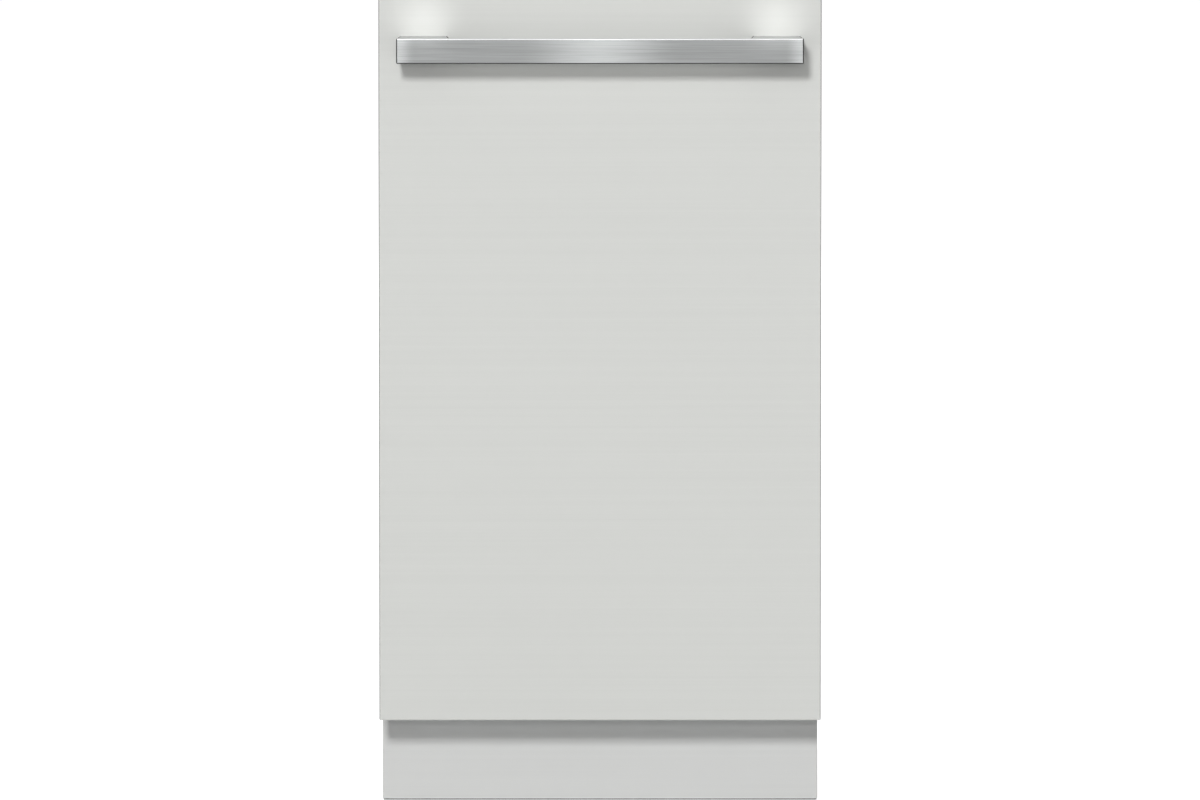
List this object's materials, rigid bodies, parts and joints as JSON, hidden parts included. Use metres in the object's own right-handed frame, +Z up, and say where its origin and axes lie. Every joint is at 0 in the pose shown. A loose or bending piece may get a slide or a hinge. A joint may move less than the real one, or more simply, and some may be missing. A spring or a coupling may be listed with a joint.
{
  "type": "slimline built-in dishwasher",
  "caption": "Slimline built-in dishwasher: steel front with bar handle, set-back toe kick, stainless tub, wire racks, cutlery tray and spray arms.",
  "frame": {"origin": "on the floor, under the middle of the box that holds the machine with its handle", "axes": "+X to the right seen from the front, -Y out of the front, +Z up"},
  "size_m": [0.448, 0.615, 0.822],
  "materials": {
    "front_steel": "fine satin steel front",
    "handle_steel": "brushed lengthwise",
    "handle_bracket": "satin",
    "tub_steel": "stainless, satin",
    "arm_steel": "stainless, satin",
    "sheet_zinc": "zinc coated sheet",
    "bright_steel": "zinc plated",
    "rack_wire": "coated wire",
    "tine_wire": "coated wire",
    "base_plastic": "moulded, dark",
    "grey_plastic": "moulded, grey",
    "wheel_plastic": "moulded, grey",
    "white_plastic": "moulded, off-white",
    "strip_plastic": "moulded, dark grey",
    "button_plastic": "moulded, black",
    "cap_plastic": "moulded, blue grey",
    "lid_plastic": "moulded, light grey",
    "seal_rubber": "soft seal",
    "foot_plastic": "moulded, black",
    "felt": "pressed felt"
  },
  "bodies": {
    "root": {"base_tray": "base_plastic", "tub": "tub_steel", "front_frame": "sheet_zinc", "tub_gasket": "seal_rubber", "side_panel_left": "sheet_zinc", "side_panel_right": "sheet_zinc", "rear_panel": "sheet_zinc", "top_cover": "sheet_zinc", "insulation": "felt", "worktop_brackets": "sheet_zinc", "toe_kick": "front_steel", "sump": "base_plastic", "filter_plate": "tub_steel", "circulation_pump": "base_plastic", "drain_pump": "white_plastic", "water_softener": "white_plastic", "inlet_valve": "white_plastic", "mains_inlet": "button_plastic", "water_box": "white_plastic", "control_box": "base_plastic", "supply_tube": "grey_plastic", "rack_rails": "bright_steel", "hinge_plates": "bright_steel", "door_springs": "bright_steel"},
    "door": {"front_panel": "front_steel", "handle_bar": "handle_steel", "handle_feet": "handle_bracket", "handle_screws": "bright_steel", "outer_door": "sheet_zinc", "inner_door": "tub_steel", "control_strip": "strip_plastic", "hinge_arms": "bright_steel", "latch_case": "base_plastic", "dispenser": "white_plastic"},
    "latch_claw": {"latch_claw": "bright_steel"},
    "dispenser_lid": {"dispenser_lid": "lid_plastic"},
    "rinse_cap": {"rinse_cap": "cap_plastic"},
    "power_button": {"power_button": "button_plastic"},
    "program_button": {"program_button": "button_plastic"},
    "start_button": {"start_button": "button_plastic"},
    "filter_cylinder": {"filter_cylinder": "grey_plastic"},
    "salt_cap": {"salt_cap": "white_plastic"},
    "leak_float": {"leak_float": "white_plastic"},
    "front_foot_left": {"front_foot_left": "foot_plastic"},
    "front_foot_right": {"front_foot_right": "foot_plastic"},
    "rear_foot": {"rear_foot": "foot_plastic"},
    "lower_spray_arm": {"lower_spray_arm": "arm_steel"},
    "top_spray_arm": {"top_spray_arm": "arm_steel"},
    "lower_rack": {"lower_rack": "rack_wire", "wheel_mounts": "grey_plastic"},
    "front_wheels": {"front_wheels": "wheel_plastic"},
    "rear_wheels": {"rear_wheels": "wheel_plastic"},
    "fold_tines": {"fold_tines": "tine_wire"},
    "rail_middle": {"rail_middle": "bright_steel"},
    "rail_inner": {"rail_inner": "grey_plastic"},
    "upper_rack": {"upper_rack": "rack_wire", "middle_feed": "grey_plastic"},
    "cup_shelf": {"cup_shelf": "tine_wire"},
    "middle_spray_arm": {"middle_spray_arm": "arm_steel"},
    "cutlery_tray": {"cutlery_tray": "grey_plastic"}
  },
  "joints": [
    {"name": "door_hinge", "type": "hinge", "parent": "root", "child": "door", "pos_m": [0, -0.228, 0.107], "axis": [1, 0, 0], "range_deg": [0, 90], "deforming": ["door_springs"]},
    {"name": "latch_claw_turn", "type": "hinge", "parent": "door", "child": "latch_claw", "pos_m": [0, -0.224, 0.799], "axis": [1, 0, 0], "range_deg": [0, 9]},
    {"name": "dispenser_lid_slide", "type": "slide", "parent": "door", "child": "dispenser_lid", "axis": [1, 0, 0], "range_m": [0, 0.06]},
    {"name": "rinse_cap_turn", "type": "hinge", "parent": "door", "child": "rinse_cap", "pos_m": [0.034, -0.2, 0.536], "axis": [0, -1, 0], "range_deg": [0, 90]},
    {"name": "power_button_press", "type": "slide", "parent": "door", "child": "power_button", "axis": [0, 0, -1], "range_m": [0, 0.0014], "stiffness_N_per_m": 300, "springref_m": -0.002},
    {"name": "program_button_press", "type": "slide", "parent": "door", "child": "program_button", "axis": [0, 0, -1], "range_m": [0, 0.0014], "stiffness_N_per_m": 300, "springref_m": -0.002},
    {"name": "start_button_press", "type": "slide", "parent": "door", "child": "start_button", "axis": [0, 0, -1], "range_m": [0, 0.0014], "stiffness_N_per_m": 300, "springref_m": -0.002},
    {"name": "filter_turn", "type": "hinge", "parent": "root", "child": "filter_cylinder", "pos_m": [0, -0.035, 0.13], "axis": [0, 0, 1], "range_deg": [0, 90]},
    {"name": "salt_cap_turn", "type": "hinge", "parent": "root", "child": "salt_cap", "pos_m": [-0.14, -0.091, 0.148], "axis": [0, 0, 1], "range_deg": [0, 360]},
    {"name": "leak_float_rise", "type": "slide", "parent": "root", "child": "leak_float", "axis": [0, 0, 1], "range_m": [0, 0.01]},
    {"name": "front_foot_left_screw", "type": "slide", "parent": "root", "child": "front_foot_left", "axis": [0, 0, -1], "range_m": [0, 0.052]},
    {"name": "front_foot_right_screw", "type": "slide", "parent": "root", "child": "front_foot_right", "axis": [0, 0, -1], "range_m": [0, 0.052]},
    {"name": "rear_foot_screw", "type": "slide", "parent": "root", "child": "rear_foot", "axis": [0, 0, -1], "range_m": [0, 0.052]},
    {"name": "lower_spray_arm_spin", "type": "hinge", "parent": "root", "child": "lower_spray_arm", "pos_m": [0, 0.047, 0.158], "axis": [0, 0, 1], "continuous": true},
    {"name": "top_spray_arm_spin", "type": "hinge", "parent": "root", "child": "top_spray_arm", "pos_m": [0, 0.047, 0.75], "axis": [0, 0, 1], "continuous": true},
    {"name": "lower_rack_slide", "type": "slide", "parent": "root", "child": "lower_rack", "axis": [0, -1, 0], "range_m": [0, 0.1259]},
    {"name": "front_wheels_roll", "type": "hinge", "parent": "lower_rack", "child": "front_wheels", "pos_m": [0, -0.1085, 0.1613], "axis": [1, 0, 0], "continuous": true},
    {"name": "rear_wheels_roll", "type": "hinge", "parent": "lower_rack", "child": "rear_wheels", "pos_m": [0, 0.1845, 0.1613], "axis": [1, 0, 0], "continuous": true},
    {"name": "fold_tines_fold", "type": "hinge", "parent": "lower_rack", "child": "fold_tines", "pos_m": [0.04867, 0, 0.19435], "axis": [0, 1, 0], "range_deg": [0, 90]},
    {"name": "rail_middle_slide", "type": "slide", "parent": "root", "child": "rail_middle", "axis": [0, -1, 0], "range_m": [0, 0.2201]},
    {"name": "upper_rack_slide", "type": "slide", "parent": "root", "child": "rail_inner", "axis": [0, -1, 0], "range_m": [0, 0.44]},
    {"name": "upper_rack_height", "type": "slide", "parent": "rail_inner", "child": "upper_rack", "axis": [0, 0, -1], "range_m": [0, 0.04]},
    {"name": "cup_shelf_fold", "type": "hinge", "parent": "upper_rack", "child": "cup_shelf", "pos_m": [-0.169, 0, 0.578], "axis": [0, -1, 0], "range_deg": [0, 88]},
    {"name": "middle_spray_arm_spin", "type": "hinge", "parent": "upper_rack", "child": "middle_spray_arm", "pos_m": [0, 0.047, 0.476], "axis": [0, 0, 1], "continuous": true},
    {"name": "cutlery_tray_slide", "type": "slide", "parent": "root", "child": "cutlery_tray", "axis": [0, -1, 0], "range_m": [0, 0.44]}
  ],
  "couplings": [
    {"joint": "lower_rack_slide", "follows": "door_hinge", "m_per_rad": 0.08},
    {"joint": "front_wheels_roll", "follows": "door_hinge", "ratio": 4.7059},
    {"joint": "rear_wheels_roll", "follows": "door_hinge", "ratio": 4.7059},
    {"joint": "rail_middle_slide", "follows": "door_hinge", "m_per_rad": 0.14},
    {"joint": "upper_rack_slide", "follows": "door_hinge", "m_per_rad": 0.28},
    {"joint": "cutlery_tray_slide", "follows": "door_hinge", "m_per_rad": 0.28}
  ]
}
